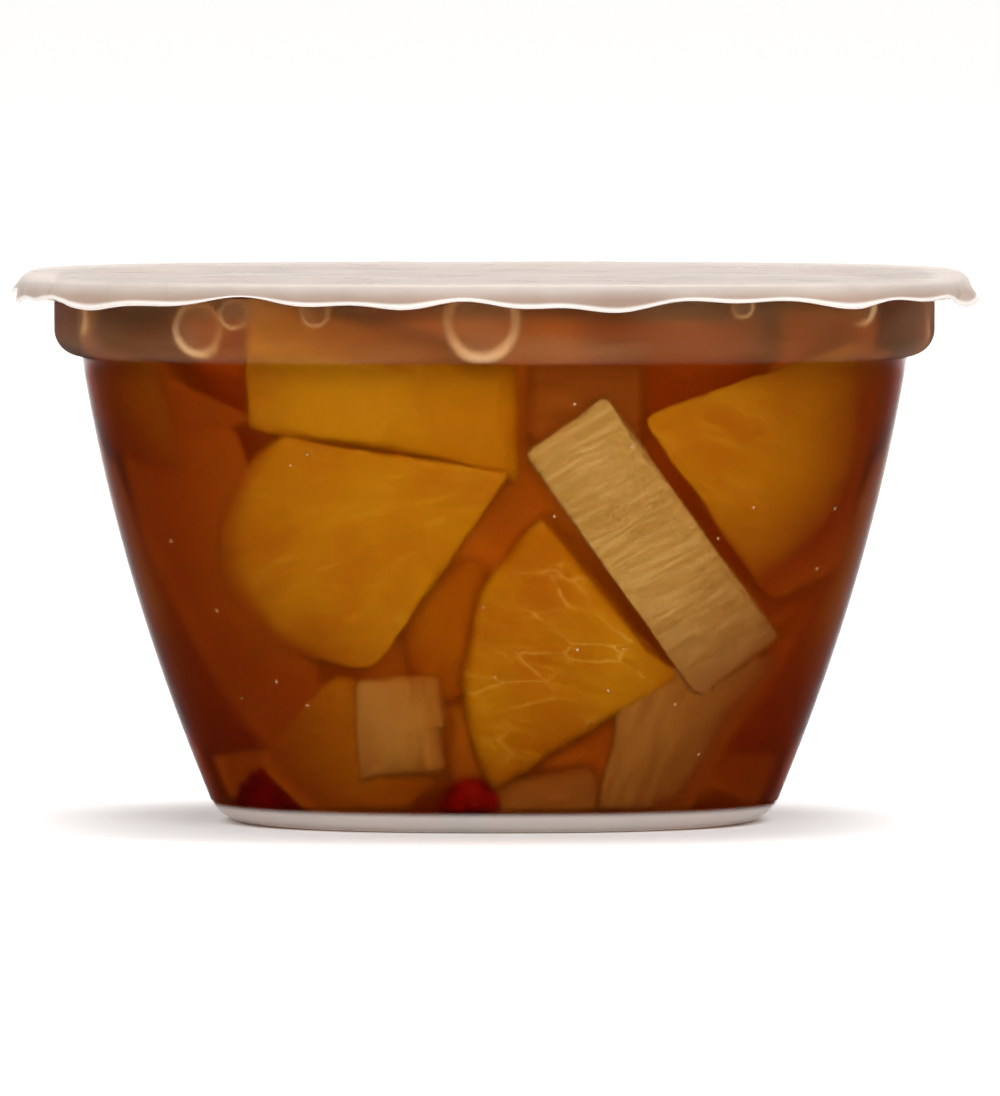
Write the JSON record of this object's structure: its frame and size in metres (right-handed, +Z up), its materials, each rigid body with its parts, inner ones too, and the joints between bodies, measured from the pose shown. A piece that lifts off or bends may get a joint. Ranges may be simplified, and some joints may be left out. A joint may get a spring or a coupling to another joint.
{
  "type": "fruit cup",
  "caption": "Sealed single-serve cup of clear plastic, rounded square with a stepped rim and peel-off film lid, filled with mixed fruit chunks in amber syrup.",
  "frame": {"origin": "middle of the flat that the cup stands on", "axes": "+Z up through the middle of the film lid, X and Y square to the sides, -Y the front"},
  "size_m": [0.0778, 0.0778, 0.0446],
  "materials": {
    "clear_plastic": "clear, glossy, slightly hazy",
    "milky_film": "translucent milky film, satin",
    "fruit_in_syrup": "wet fruit in amber syrup"
  },
  "bodies": {
    "root": {"cup": "clear_plastic", "film_lid": "milky_film", "fruit_heap": "fruit_in_syrup"}
  },
  "joints": []
}
